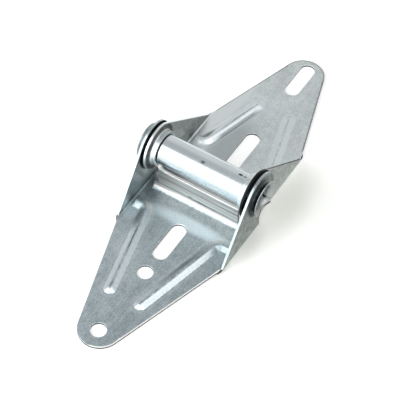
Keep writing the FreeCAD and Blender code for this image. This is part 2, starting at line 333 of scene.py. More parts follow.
def shell(points, quads, thickness, arris):
    """Closed sheet: the surface, the same surface moved back along its normals, and a rim
    whose section is a quarter round, a straight side and a quarter round. Also gives each
    point's source on the surface and its depth, 0 on the surface and 1 at the back. At a
    corner the rim is stretched, up to a limit, so that its sides stay straight"""
    steps = 4
    most = 1.35
    normals = face_normals(points, quads)
    n = len(points)
    thick = np.broadcast_to(np.reshape(thickness, (-1, 1)), (n, 1)).astype(float)
    edges = np.concatenate([quads[:, [k, (k + 1) % 4]] for k in range(4)])
    code = edges[:, 0] * n + edges[:, 1]
    other = edges[:, 1] * n + edges[:, 0]
    rim = edges[~np.isin(code, other)]
    along = points[rim[:, 1]] - points[rim[:, 0]]
    mean = normals[rim[:, 0]] + normals[rim[:, 1]]
    out = np.cross(along, mean)
    out /= np.maximum(np.linalg.norm(out, axis=1, keepdims=True), TINY)
    total = np.zeros_like(points)
    for k in range(2):
        np.add.at(total, rim[:, k], out)
    length = np.linalg.norm(total, axis=1, keepdims=True)
    unit = total / np.maximum(length, TINY)
    stretch = np.clip(2.0 / np.maximum(length, TINY), 1.0, most)
    ring = np.unique(rim)
    place = np.full(n, -1)
    place[ring] = np.arange(len(ring))
    quarter = np.linspace(0, math.pi / 2, steps + 1)
    profile = [(math.sin(a), 1 - math.cos(a), 0.0, a) for a in quarter[1:]]
    profile += [(math.cos(a), math.sin(a) - 1, 1.0, math.pi / 2 + a) for a in quarter[:-1]]
    all_points = [points, points - normals * thick]
    all_normals = [normals, -normals]
    all_quads = [quads, quads[:, ::-1] + n]
    depth = [np.zeros(n), np.ones(n)]
    before = rim.copy()
    base = 2 * n
    for outward, down, whole, angle in profile:
        o = unit[ring]
        nn = normals[ring]
        under = arris * down + whole * thick[ring]
        all_points.append(points[ring] + o * stretch[ring] * arris * outward - nn * under)
        all_normals.append(o * math.sin(angle) + nn * math.cos(angle))
        depth.append((under / thick[ring])[:, 0])
        after = base + place[rim]
        all_quads.append(np.column_stack([before[:, 1], before[:, 0], after[:, 0], after[:, 1]]))
        before = after
        base += len(ring)
    after = rim + n
    all_quads.append(np.column_stack([before[:, 1], before[:, 0], after[:, 0], after[:, 1]]))
    source = np.concatenate([np.arange(n), np.arange(n)] + [ring] * len(profile))
    return (np.concatenate(all_points), np.concatenate(all_normals), np.concatenate(all_quads),
            source, np.concatenate(depth))


def link(name, data):
    """New object with the given data, in the scene"""
    thing = bpy.data.objects.new(name, data)
    bpy.context.scene.collection.objects.link(thing)
    return thing


def make_piece(name, points, normals, quads, material, marks):
    """Mesh object in metres, smooth by the given normals, with the named numbers per point"""
    mesh = bpy.data.meshes.new(name)
    n = len(quads)
    mesh.vertices.add(len(points))
    mesh.vertices.foreach_set("co", (points / 1000).astype(np.float32).ravel())
    mesh.loops.add(4 * n)
    mesh.loops.foreach_set("vertex_index", quads.astype(np.int32).ravel())
    mesh.polygons.add(n)
    mesh.polygons.foreach_set("loop_start", np.arange(0, 4 * n, 4, dtype=np.int32))
    mesh.update(calc_edges=True)
    mesh.polygons.foreach_set("use_smooth", np.ones(n, dtype=bool))
    mesh.validate(verbose=False)
    mesh.normals_split_custom_set_from_vertices(normals.tolist())
    for key, values in marks.items():
        layer = mesh.attributes.new(key, "FLOAT", "POINT")
        layer.data.foreach_set("value", values.astype(np.float32))
    mesh.materials.append(material)
    return link(name, mesh)


# Form of a leaf, which lies along +Y from the axis to its tip


class Leaf:
    """Outline, beads and holes of one leaf. Edges are drawn in by the arris, which the rim
    adds again"""

    def __init__(self, part, sheet, holes):
        self.part = part
        self.sheet = sheet
        self.holes = holes
        self.fold_x = part.ear_x - sheet.bend
        reach = math.hypot(part.corner_x, part.corner_y - part.tip_y)
        base = math.atan2(part.corner_y - part.tip_y, part.corner_x)
        a = base + math.acos(part.tip_r / reach)
        touch_x = part.tip_r * math.cos(a)
        touch_y = part.tip_y + part.tip_r * math.sin(a)
        self.slope = (part.corner_x - touch_x) / (part.corner_y - touch_y)
        self.stretch = math.hypot(1.0, self.slope)
        self.tip_r = part.tip_r - sheet.arris
        self.touch_y = part.tip_y - self.tip_r * self.slope / self.stretch
        self.near_y = part.neck_y + sheet.arris
        shift = sheet.arris * self.stretch
        self.fold_y = part.corner_y + (self.fold_x + shift - part.corner_x) / self.slope
        # Slanted edge of the ear, tangent to its round end and drawn from above its fold
        edge_rise = 1.5
        self.fold_z = sheet.top + sheet.bend
        z_edge = self.fold_z + edge_rise
        reach = math.hypot(part.edge_y, z_edge)
        self.ear_turn = math.atan2(z_edge, part.edge_y) + math.acos(part.ear_r / reach)
        self.ear_r = part.ear_r - sheet.arris
        run = (self.ear_r * math.sin(self.ear_turn) - self.fold_z) / math.cos(self.ear_turn)
        self.ear_y = self.ear_r * math.cos(self.ear_turn) + run * math.sin(self.ear_turn)

    def half_width(self, y):
        """Half width: the tip's circle, then the slanted line, then the fold's line"""
        round_part = np.sqrt(np.maximum(self.tip_r ** 2 - (y - self.part.tip_y) ** 2, 0.0))
        width = np.where(y > self.touch_y, round_part, self.half_width_line(y))
        return np.where(y < self.fold_y, self.fold_x, width)

    def hole_width(self, y):
        """Half width of the hole or slot at y, a circle's chord at its ends"""
        r = self.part.hole_r + self.sheet.arris
        width = np.zeros_like(y)
        for centre, length in self.holes:
            straight = length / 2 - self.part.hole_r
            past = np.maximum(np.abs(y - centre) - straight, 0.0)
            width = np.maximum(width, np.sqrt(np.maximum(r * r - past * past, 0.0)))
        return width

    def rows(self, start):
        """Rows along the leaf, crowded where circles begin and end, up to just short of the
        tip's last point"""
        step = 0.62
        points_tip = 24
        points_hole = 11
        r = self.part.hole_r + self.sheet.arris
        round_end = r * np.sin(np.linspace(0, math.pi / 2, points_hole))
        last = math.radians(88.8)
        first = math.asin((self.touch_y - self.part.tip_y) / self.tip_r)
        tip = self.part.tip_y + self.tip_r * np.sin(np.linspace(first, last, points_tip))
        needed = [tip, [start, self.fold_y]]
        for centre, length in self.holes:
            straight = length / 2 - self.part.hole_r
            needed.append(centre + straight + round_end)
            needed.append(centre - straight - round_end)
        return merged(np.concatenate(needed), even(start, tip[-1], step))

    def bead_distance(self, x, y):
        """Distance from the bead's line, which is a straight leg, an arc and a straight arm,
        and the distance across the leg alone, with a sign and beside the leg only"""
        p = self.part
        start = np.array([p.bead_x0, p.bead_y0])
        corner = np.array([p.bead_x1, p.bead_y1])
        leg = corner - start
        leg /= np.linalg.norm(leg)
        angle = math.atan2(leg[1], leg[0])
        back = self.sheet.bead_turn * math.tan(abs(angle) / 2)
        leg_end = corner - leg * back
        arm_x = corner[0] + back
        centre = np.array([arm_x, corner[1] + self.sheet.bead_turn])
        dx = x - start[0]
        dy = y - start[1]
        reach = np.dot(leg_end - start, leg)
        t = dx * leg[0] + dy * leg[1]
        s = -dx * leg[1] + dy * leg[0]
        beyond = t - np.clip(t, 0, reach)
        on_leg = np.hypot(beyond, s)
        on_arm = np.hypot(np.minimum(x - arm_x, 0.0), y - corner[1])
        from_centre = np.hypot(x - centre[0], y - centre[1])
        on_turn = np.abs(from_centre - self.sheet.bead_turn)
        ahead = (t > reach) & (x < arm_x)
        on_turn = np.where(ahead, on_turn, np.inf)
        near = np.minimum(np.minimum(on_leg, on_arm), on_turn)
        crest = np.where((t > 0.5) & (t < reach), s, FAR)
        return near, crest

    def edge_distance(self, x, y):
        """Distance in from the outer edge: to the slanted line, or to the tip's circle"""
        line = (self.half_width_line(y) - x) / self.stretch
        tip = self.tip_r - np.hypot(x, y - self.part.tip_y)
        return np.where(y > self.touch_y + x * self.slope, tip, line)

    def half_width_line(self, y):
        """Half width along the slanted line"""
        return self.part.corner_x + (y - self.part.corner_y) * self.slope - self.sheet.arris * self.stretch

    def bead_height(self, x, y):
        """Height of the beads over the distance from their line: a round crest, a plane flank
        and a round foot, as parabola, line and parabola that meet tangent"""
        near, _ = self.bead_distance(x, y)
        half = self.sheet.bead_half
        crest = 0.28 * half
        foot = 0.78 * half
        steep = 2 * self.sheet.bead_rise / (half + foot - crest)
        top = self.sheet.bead_rise - steep * near * near / (2 * crest)
        flank = self.sheet.bead_rise - steep * (near - crest / 2)
        low = steep * (half - near) ** 2 / (2 * (half - foot))
        height = np.select([near < crest, near < foot, near < half], [top, flank, low], 0.0)
        fade = 1 - ease((x - self.fold_x + self.sheet.bead_fade) / self.sheet.bead_fade)
        return height * fade

    def plate(self, rows, columns):
        """Half of the plate: each row runs from the hole's edge to the outer edge"""
        y = rows[:, None]
        inner = self.hole_width(y)
        x = inner + columns[None, :] * (self.half_width(y) - inner)
        return stack(x, y, self.sheet.top + self.bead_height(x, y))

    def fold(self, rows):
        """Bend of an ear: a quarter circle carried along the fold, cut slanting at its far end"""
        points_bend = 9
        angle = np.linspace(0, math.pi / 2, points_bend)[None, :]
        share = ((rows - self.near_y) / (self.fold_y - self.near_y))[:, None]
        far = self.fold_y + (self.ear_y - self.fold_y) * ease(angle / (math.pi / 2))
        y = self.near_y + share * (far - self.near_y)
        x = self.fold_x + self.sheet.bend * np.sin(angle)
        z = self.sheet.top + self.sheet.bend * (1 - np.cos(angle))
        return stack(x, y, z)

    def ear(self, foot_y, inner_r, collar=()):
        """Upright ear: lines run from points of its outline in to a circle about the axis, and
        on over the collar's section where there is one. The circle is shared out so that the
        fold takes it up to one angle, the neck's edge to the next, and the round the rest"""
        low = math.radians(-72.0)
        side = math.radians(-77.0)
        points_round = 84
        points_slant = 36
        points_in = 15
        foot_y = foot_y[::-1]
        foot = np.column_stack([foot_y, np.full_like(foot_y, self.fold_z)])
        neck_z = -math.sqrt(self.ear_r ** 2 - self.near_y ** 2)
        neck_line = even(self.fold_z, neck_z, 0.9)
        neck = np.column_stack([np.full_like(neck_line, self.near_y), neck_line])[1:]
        a0 = math.atan2(neck_z, self.near_y)
        a1 = self.ear_turn - 2 * math.pi
        arc = np.linspace(a0, a1, points_round)
        end = self.ear_r * np.column_stack([np.cos(arc), np.sin(arc)])[1:]
        touch = end[-1]
        share = np.linspace(0, 1, points_slant)[1:, None]
        slant = touch + share * (foot[0] - touch)
        outline = np.concatenate([foot, neck, end, slant])
        polar = np.arctan2(outline[:, 1], outline[:, 0])
        first = polar[0]
        n0 = len(foot)
        n1 = n0 + len(neck)
        n2 = n1 + len(end)
        turn_in = np.empty(len(outline))
        spread = (polar[:n0] - first) / (polar[n0 - 1] - first)
        turn_in[:n0] = first + spread * (low - first)
        turn_in[n0:n1] = np.linspace(low, side, len(neck) + 1)[1:]
        turn_in[n1:n2] = np.linspace(side, a1, len(end) + 1)[1:]
        turn_in[n2:] = polar[n2:] - 2 * math.pi
        circle = inner_r * np.column_stack([np.cos(turn_in), np.sin(turn_in)])
        t = np.linspace(0, 1, points_in)[:, None, None]
        flat = outline[None] + t * (circle - outline)[None]
        grid = stack(self.part.ear_x, flat[..., 0], flat[..., 1])
        if len(collar):
            section = np.asarray(collar)
            x = section[:, 0][:, None]
            r = section[:, 1][:, None]
            inside = stack(x, r * np.cos(turn_in)[None], r * np.sin(turn_in)[None])
            grid = np.concatenate([grid, inside])
        return grid


def lip_grids(leaf, lip, x_values):
    """Lip and its foot: a bend carried across the leaf, then upright rows to the top edge,
    which rises in a concave round to a horn at the left end"""
    points_bend = 12
    points_up = 20
    sheet = leaf.sheet
    angle = np.linspace(0, math.pi / 2, points_bend)
    start_y = lip.face_y + lip.bend
    bend_y = start_y - lip.bend * np.sin(angle)
    bend_z = sheet.top + lip.bend * (1 - np.cos(angle))
    foot_z = sheet.top + lip.bend + lip.foot_rise - sheet.arris
    low_z = even(bend_z[-1], foot_z, 0.25)[1:]
    y = np.concatenate([bend_y, np.full_like(low_z, lip.face_y)])
    z = np.concatenate([bend_z, low_z])
    low = stack(x_values[None, :], y[:, None], z[:, None])
    half = x_values[x_values <= lip.half - sheet.arris + SLACK]
    wide = np.concatenate([-half[:0:-1], half])
    f = lip.horn_round
    foot_x = lip.half - lip.horn_width - math.sqrt(f * f - (f - lip.horn_rise) ** 2)
    inside = np.clip(-wide - foot_x, 0, f)
    round_z = f - np.sqrt(np.maximum(f * f - inside * inside, 0.0))
    rise = np.minimum(round_z, lip.horn_rise)
    top = lip.top + rise - sheet.arris
    share = np.linspace(0, 1, points_up)[1:, None]
    upper_z = foot_z + share * (top[None, :] - foot_z)
    over = np.maximum(upper_z - lip.top, 0.0) / lip.horn_rise
    upper_y = lip.face_y + lip.horn_lean * over ** 2
    first = stack(wide[None, :], lip.face_y, foot_z)
    upper = stack(wide[None, :], upper_y, upper_z)
    return low, np.concatenate([first, upper])


# Shader maths


class Value:
    """A number in a shader: an expression on values adds its Math nodes"""

    def __init__(self, shader, socket):
        self.shader = shader
        self.socket = socket

    def maths(self, operation, *values, clamp=False):
        """Math node on the given values, of which this is one"""
        sockets = dict(enumerate(values))
        return self.shader.value("ShaderNodeMath", sockets, operation=operation, use_clamp=clamp)

    def __add__(self, other):
        return self.maths("ADD", self, other)

    def __radd__(self, other):
        return self.maths("ADD", other, self)

    def __sub__(self, other):
        return self.maths("SUBTRACT", self, other)

    def __rsub__(self, other):
        return self.maths("SUBTRACT", other, self)

    def __mul__(self, other):
        return self.maths("MULTIPLY", self, other)

    def __rmul__(self, other):
        return self.maths("MULTIPLY", other, self)

    def __abs__(self):
        return self.maths("ABSOLUTE", self)

    def least(self, other):
        """The smaller of the two"""
        return self.maths("MINIMUM", self, other)

    def most(self, other):
        """The larger of the two"""
        return self.maths("MAXIMUM", self, other)

    def clamped(self):
        """Kept between 0 and 1"""
        return self.maths("ADD", self, 0.0, clamp=True)

    def ramp(self, low, high):
        """0 at low, 1 at high, straight between"""
        return ((self - low) * (1 / (high - low))).clamped()

    def smooth(self, low, high):
        """0 at low and beyond, 1 at high and beyond, smooth between"""
        sockets = {"Value": self, "From Min": low, "From Max": high}
        return self.shader.value("ShaderNodeMapRange", sockets, interpolation_type="SMOOTHSTEP")

    def band(self, low, high, soft):
        """1 between two values, 0 outside them, smooth over the given width"""
        return self.smooth(low - soft, low) * self.smooth(high + soft, high)


def rgba(colour):
    """A colour as a socket takes it. A link stays as it is"""
    return colour if isinstance(colour, bpy.types.NodeSocket) else (*colour, 1.0)


class Shader:
    """Nodes of one material or world"""

    def __init__(self, owner):
        self.owner = owner
        owner.use_nodes = True
        self.tree = owner.node_tree
        self.tree.nodes.clear()

    def node(self, kind, sockets=None, **settings):
        """Any node: its settings first, then the values or links of its sockets, each by its
        name or number"""
        node = self.tree.nodes.new(kind)
        for key, setting in settings.items():
            setattr(node, key, setting)
        for key, value in (sockets or {}).items():
            if isinstance(value, Value):
                value = value.socket
            if isinstance(value, bpy.types.NodeSocket):
                self.tree.links.new(value, node.inputs[key])
            else:
                node.inputs[key].default_value = value
        return node

    def value(self, kind, sockets=None, output=0, **settings):
        """One output of a new node, as a value"""
        return Value(self, self.node(kind, sockets, **settings).outputs[output])

    def place(self, scale, shift=(0, 0, 0)):
        """Object coordinates, stretched and moved"""
        where = self.node("ShaderNodeTexCoord").outputs["Object"]
        return self.node("ShaderNodeMapping", {"Vector": where, "Scale": scale, "Location": shift}).outputs[0]

    def noise(self, scale, detail, roughness=0.5):
        """Noise round 0.5. The scale is one number, or one for each direction"""
        where = self.place(scale if isinstance(scale, tuple) else (scale, scale, scale))
        sockets = {"Vector": where, "Scale": 1.0, "Detail": detail, "Roughness": roughness}
        return self.value("ShaderNodeTexNoise", sockets)

    def spot(self, centre, reach):
        """1 at a point given in millimetres, 0 beyond an ellipsoid round it"""
        scale = tuple(1000 / r for r in reach)
        shift = tuple(-c / r for c, r in zip(centre, reach))
        far = self.value("ShaderNodeVectorMath", {0: self.place(scale, shift)}, "Value", operation="LENGTH")
        return far.smooth(1.0, 0.35)

    def attribute(self, name):
        """A number that the piece's points carry"""
        return self.value("ShaderNodeAttribute", output="Fac", attribute_name=name)

    def blend(self, share, a, b):
        """Colour a where share is 0 and b where it is 1"""
        sockets = {0: share, 6: rgba(a), 7: rgba(b)}
        return self.node("ShaderNodeMix", sockets, data_type="RGBA").outputs[2]

    def principled(self, sockets):
        """Principled surface, as all that the material shows"""
        surface = self.node("ShaderNodeBsdfPrincipled", sockets)
        self.node("ShaderNodeOutputMaterial", {0: surface.outputs[0]})
        return self.owner

    def rays(self):
        """Whether a ray comes from the camera, and whether from metal or through glass"""
        path = self.node("ShaderNodeLightPath").outputs
        mirrored = Value(self, path["Is Glossy Ray"]).most(Value(self, path["Is Transmission Ray"]))
        return Value(self, path["Is Camera Ray"]), mirrored


# Finishes. Places are in millimetres from the middle of the axis: x across, y along, z up

# Squares of the distances from the axis at which the shade on the ears starts and is full
EAR_ROUND = (150.0, 128.0)

# Dark lines along the lip: from and to this height over the plate, soft edge, share
LIP_LINES = ((2.9, 3.4, 0.3, 0.5), (7.8, 8.4, 0.4, 0.6), (10.4, 10.9, 0.4, 0.5))

# Dark marks: centre, reach, share. Two at the foot of the lip; one low on the far side of the right ear's
# round, which is painted shade seen through the tube's seam; two at the left fold and one at each corner of
# the leaf
FRONT_MARKS = (
    ((1.5, -6.0, -16.4), (6.5, 1.0, 0.7), 1.0),
    ((-3.8, -6.0, -15.8), (2.2, 1.0, 0.6), 1.0),
    ((26.5, 5.0, -4.9), (1.8, 1.5, 1.4), 1.0),
    ((-24.2, -3.5, -18.5), (3.2, 6.0, 3.0), 0.75),
    ((-26.1, -4.5, -15.0), (1.0, 5.5, 4.0), 0.3),
    ((26.6, -27.6, -20.4), (1.3, 1.6, 1.6), 0.95),
    ((-26.6, -27.6, -20.4), (0.9, 1.2, 1.6), 0.6),
)

# Scuffs on top of the tube and a shade low at its left
TUBE_MARKS = (
    ((-0.2, -1.9, 6.6), (1.5, 1.0, 1.5), 0.8),
    ((17.0, 0.9, 6.9), (1.5, 0.8, 1.5), 1.0),
    ((19.3, 0.9, 6.9), (1.3, 0.45, 1.5), 0.9),
    ((-17.5, -5.6, -4.2), (8.0, 1.8, 1.8), 0.55),
)


class Zinc(Shader):
    """Zinc on one piece. Colours are laid on in layers, and of the dark marks the darkest
    counts. Side is the distance from the middle, and depth runs through the sheet from 0 to 1"""

    def __init__(self, name, finish):
        super().__init__(bpy.data.materials.new(name))
        self.finish = finish
        axes = self.node("ShaderNodeSeparateXYZ", {"Vector": self.place((1000, 1000, 1000))}).outputs
        self.x, self.y, self.z = (Value(self, axis) for axis in axes)
        self.side = abs(self.x)
        self.depth = self.attribute("depth")
        self.dark = 0.0

    def lay(self, share, colour):
        """Lay a colour over those laid before, where share is 1"""
        self.colour = self.blend(share, self.colour, colour)

    def darken(self, share):
        """Add a dark mark, where share is 1"""
        self.dark = share.most(self.dark)

    def surface(self, gloss, metallic, height, strength, distance):
        """Principled surface with the colour laid so far and a bump"""
        sockets = {"Height": height, "Strength": strength, "Distance": distance}
        bump = self.node("ShaderNodeBump", sockets).outputs[0]
        sockets = {"Base Color": self.colour, "Roughness": gloss, "Metallic": metallic, "Normal": bump}
        return self.principled(sockets)


class LeafZinc(Zinc):
    """Zinc on a leaf: cloudy tone, fine grain along the leaf, beads polished on their flanks with a painted
    highlight along their feet and rubbed dark on their crests, dull ears darkened as painted shade, cut edges
    torn on their lower part"""

    def __init__(self, name, finish, leaf, dark_tone, light_tone, lean=0.0):
        super().__init__(name, finish)
        self.inner_face = leaf.part.ear_x
        self.outer_face = leaf.part.ear_x + leaf.sheet.thickness
        self.top = leaf.sheet.top
        self.patch = self.noise(420, 4, 0.65)
        self.grain = self.noise(1500, 3, 0.7)
        self.rolled = self.noise((900, 45, 900), 3, 0.6)
        tone = self.noise(55, 3) * 0.35 + self.patch * 0.5 + self.grain + self.rolled * 0.3 - 0.575
        tone = tone - self.x * lean
        self.colour = self.blend(tone.smooth(0.22, 0.78), dark_tone, light_tone)
        self.on_plate = self.z.smooth(self.top + 0.5, self.top + 0.1)
        self.off_plate = self.z.smooth(self.top + 0.2, self.top + 1.0)
        self.cut_highlight = 0.0

    def wear_and_highlight_beads(self, wear):
        """Flanks of the beads polished, a painted highlight along their feet, and crests of their legs rubbed
        dark in places
        """
        near = self.attribute("bead")
        flank = near.smooth(0.4, 1.2) * near.smooth(2.95, 2.6)
        foot = near.smooth(3.1, 3.7) * near.smooth(5.0, 3.9) * 0.45
        share = self.side.smooth(20.5, 17.5) * flank.most(foot) * self.grain.smooth(0.1, 0.6)
        self.lay(share, self.finish.polish_and_highlight_colour)
        self.crest = self.attribute("crest")
        places = self.noise(120, 3).smooth(0.42, 0.6) * self.side.smooth(17.0, 14.5)
        self.darken(abs(self.crest).smooth(0.40, 0.10) * places * wear)

    def dull_and_shade_ears(self, inner_share, outer_share, fold_share):
        """Dull mottled ears, darkened as painted shade, and folds whose highlight is dulled as painted shade
        """
        inner = self.inner_face
        outer = self.outer_face
        self.inner = self.side.band(inner - 0.3, inner + 0.1, 0.15)
        self.outer = self.side.band(outer - 0.1, outer + 0.3, 0.15)
        self.blotch = self.noise(420, 4, 0.7).smooth(0.36, 0.62)
        outside = self.outer * (self.blotch * 0.7 + 0.25) * outer_share
        inside = self.inner * inner_share * (self.blotch * 0.3 + 0.75)
        self.fold = self.side.band(inner - 0.6, inner - 0.05, 0.1)
        self.fold = self.fold * self.z.band(self.top + 0.05, self.top + 0.9, 0.1)
        self.dull = (outside.most(inside) * self.off_plate).most(self.fold * fold_share)

    def paint_gap_shade(self, face):
        """Painted shade on a face in the gap between two ears, within the ears' round"""
        self.reach = self.y * self.y + self.z * self.z
        self.in_round = self.reach.smooth(*EAR_ROUND)
        self.darken(face * self.in_round * 0.97)

    def finished(self):
        """Surface from all that was laid on the zinc"""
        finish = self.finish
        torn = self.depth.band(0.26, 0.90, 0.06) * self.on_plate
        # Dull zinc and painted shade on the ears and folds
        self.lay(self.dull, finish.dull_and_shade_colour)
        self.lay(self.dark.clamped(), finish.mark_colour)
        self.lay(torn * 0.97, finish.cut_colour)
        # Painted highlights on the cut faces and arrises
        self.lay(self.cut_highlight, finish.cut_highlight_colour)
        gloss = finish.leaf_gloss + (self.patch - 0.5) * 0.16 + (self.grain - 0.5) * 0.14
        gloss = gloss + self.dark * 0.2 + torn * 0.25 + self.dull * 0.12 + self.fold * 0.3
        height = self.grain * 0.9 + self.rolled * 0.6 + self.patch * 0.5
        return self.surface(gloss, 1 - 0.9 * self.cut_highlight, height, strength=0.5, distance=0.00007)


def front_zinc(finish, leaf, lip):
    """Zinc of the front leaf, with what only this leaf shows"""
    s = LeafZinc("zinc_front_leaf", finish, leaf, finish.leaf_colour, finish.leaf_light, 0.003)
    top = s.top
    # Painted sheen, a painted reflection, on the plate in front of the lip and at its left corner
    sheen = s.spot((2.0, -16.2, top), (26.0, 5.0, 4.0)) * s.grain.smooth(0.05, 0.55)
    corner = s.spot((-23.2, -24.0, top), (5.0, 6.5, 1.5)) * s.grain.smooth(0.2, 0.6)
    s.lay(sheen.most(corner), finish.painted_sheen_colour)
    # Polished bead flanks, with a painted highlight along their feet
    s.wear_and_highlight_beads(0.65)
    # Dull ears, with painted shade on them and on the folds
    s.dull_and_shade_ears(inner_share=0.25, outer_share=1.0, fold_share=0.45)
    # Painted shade in the gap between the ears
    s.paint_gap_shade(s.inner)
    # Painted shade round the right flare of the tube, broken by the grain
    flare = s.outer * s.x.smooth(0, 1) * s.grain.smooth(0.2, 0.5)
    s.darken(flare * s.reach.smooth(104, 78) * s.y.smooth(5, -1) * 0.8)
    # Dark line along the folds of the ears
    line = s.side.band(s.inner_face - 0.15, s.inner_face + 0.2, 0.1) * s.z.band(top + 1.3, top + 1.8, 0.35)
    s.darken(line * s.patch.smooth(0.3, 0.5) * 0.85)
    # Greyer zinc on the lip
    width = s.side.smooth(lip.foot_half + 0.2, lip.foot_half - 0.1)
    front = -lip.face_y
    s.lay(s.y.band(front - 0.6, front + 2.0, 0.4) * width * 0.9, finish.lip_colour)
    # Painted highlight on the cut face of the lip, split by a dull line, and on the horn
    cut = s.depth.band(0.05, 0.95, 0.04) * s.side.smooth(lip.half + 1.5, lip.half + 0.5)
    cut = cut * s.z.band(lip.top - 0.4, lip.top + 4.5, 0.1) * s.y.smooth(front - 1.4, front - 1.0)
    cut = cut * (1 - 0.55 * s.depth.band(0.4, 0.52, 0.12) * s.x.smooth(-17, -14))
    foot = lip.horn_width - lip.half
    horn = s.z.smooth(lip.top + 0.3, lip.top + 0.8) * s.x.smooth(foot + 1.3, foot + 0.7)
    horn = horn * s.side.smooth(lip.half + 1.0, lip.half + 0.5)
    # Painted highlight on the arris of the right edge
    arris = s.x.smooth(0, 2) * s.on_plate * s.depth.smooth(0.25, 0.12)
    arris = arris * s.attribute("edge").smooth(0.4, 0.15) * s.grain.smooth(0.2, 0.45)
    s.cut_highlight = cut.most(horn * 0.9).most(arris)
    # Face of the lip: drawn lines, fainter on an open strip, and a darker left end
    face = s.y.band(front - 0.3, front + 0.1, 0.25) * width
    drawn = s.noise((25, 25, 1500), 2, 0.7).smooth(0.40, 0.58) * s.z.band(top + 3.0, lip.top - 0.5, 0.3)
    strip = s.z.band(top + 4.6, top + 7.1, 0.3) * s.x.smooth(-7, 1) * 0.5
    s.darken(face * drawn * 0.6 * (1 - strip))
    s.darken(face * s.x.smooth(-6, -18) * s.z.smooth(lip.top + 0.3, lip.top - 0.7) * 0.32)
    for low, high, soft, share in LIP_LINES:
        s.darken(face * s.z.band(top + low, top + high, soft) * share)
    broken = s.grain.smooth(0.3, 0.55)
    for centre, reach, share in FRONT_MARKS:
        s.darken(s.spot(centre, reach) * share * broken)
    return s.finished()


def back_zinc(finish, leaf):
    """Zinc of the back leaf: lighter than the front's as painted light, with a patch of painted shade beside
    the tube
    """
    s = LeafZinc("zinc_back_leaf", finish, leaf, finish.back_lit_colour, finish.back_lit_light)
    top = s.top
    # Painted shade: a darker patch beside the tube
    patch = s.spot((-6.0, 31.0, top), (13.0, 24.0, 6.0)) * s.patch.smooth(0.1, 0.45)
    s.lay(patch * (s.grain * 0.5 + 0.6), finish.shade_patch_colour)
    # Painted shade beside the tube, deeper at the left, and a dark line along the outer edge
    s.darken(s.y.smooth(10, 4) * s.z.smooth(top + 1.0, top + 0.4) * (s.x.smooth(-11, -18) * 0.3 + 0.3))
    s.darken(s.attribute("edge").smooth(0.55, 0.1) * s.on_plate * s.side.smooth(22.9, 22.4) * 0.6)
    # Painted light: lighter zinc outside the left bead
    s.lay(s.x.smooth(-13.5, -16.0) * 0.8, finish.back_lit_light)
    # Polished bead flanks, with a painted highlight along their feet
    s.wear_and_highlight_beads(0.45)
    # Shaded flank of the left bead
    left = s.x.smooth(0, -1)
    flank = s.crest.band(-3.0, -2.2, 0.7) * left
    s.darken(flank * s.y.smooth(58, 52) * s.y.smooth(29, 35) * 0.5)
    # Dull ears, with painted shade on them and on the folds
    s.dull_and_shade_ears(inner_share=0.78, outer_share=0.7, fold_share=0.1)
    # Painted shade in the gap between the ears
    s.paint_gap_shade(s.outer)
    # Edge of the right ear, in the shade of the ear in front
    right = s.x.smooth(0, 1) * s.off_plate
    s.darken(right * s.depth.smooth(0.05, 0.2) * s.in_round)
    s.darken(right * s.depth.band(0.35, 0.85, 0.1) * s.reach.smooth(*EAR_ROUND[::-1]) * 0.9)
    # Left ear: painted shade in a ring at the groove round the collar's root, a darker top of the collar, and
    # a darker lower face
    ring = s.reach.smooth(70.5, 74.0) * s.reach.smooth(122, 108)
    ring = ring * s.side.band(s.inner_face - 0.65, s.inner_face + 0.1, 0.15)
    s.darken(left * ring * (s.blotch * 0.2 + 0.55))
    collar = s.side.band(20.8, 22.9, 0.2) * s.y.smooth(-5.6, -3.4) * s.z.smooth(2, 4)
    s.darken(left * collar * s.reach.smooth(80, 72) * 0.35)
    s.darken(left * s.inner * s.z.smooth(-9, -14) * s.off_plate * 0.27)
    # Dark line along the folds of both ears
    line = s.side.band(s.inner_face - 0.35, s.inner_face + 0.1, 0.15) * s.z.band(top + 0.9, top + 2.6, 0.5)
    s.darken(line * 0.42)
    return s.finished()


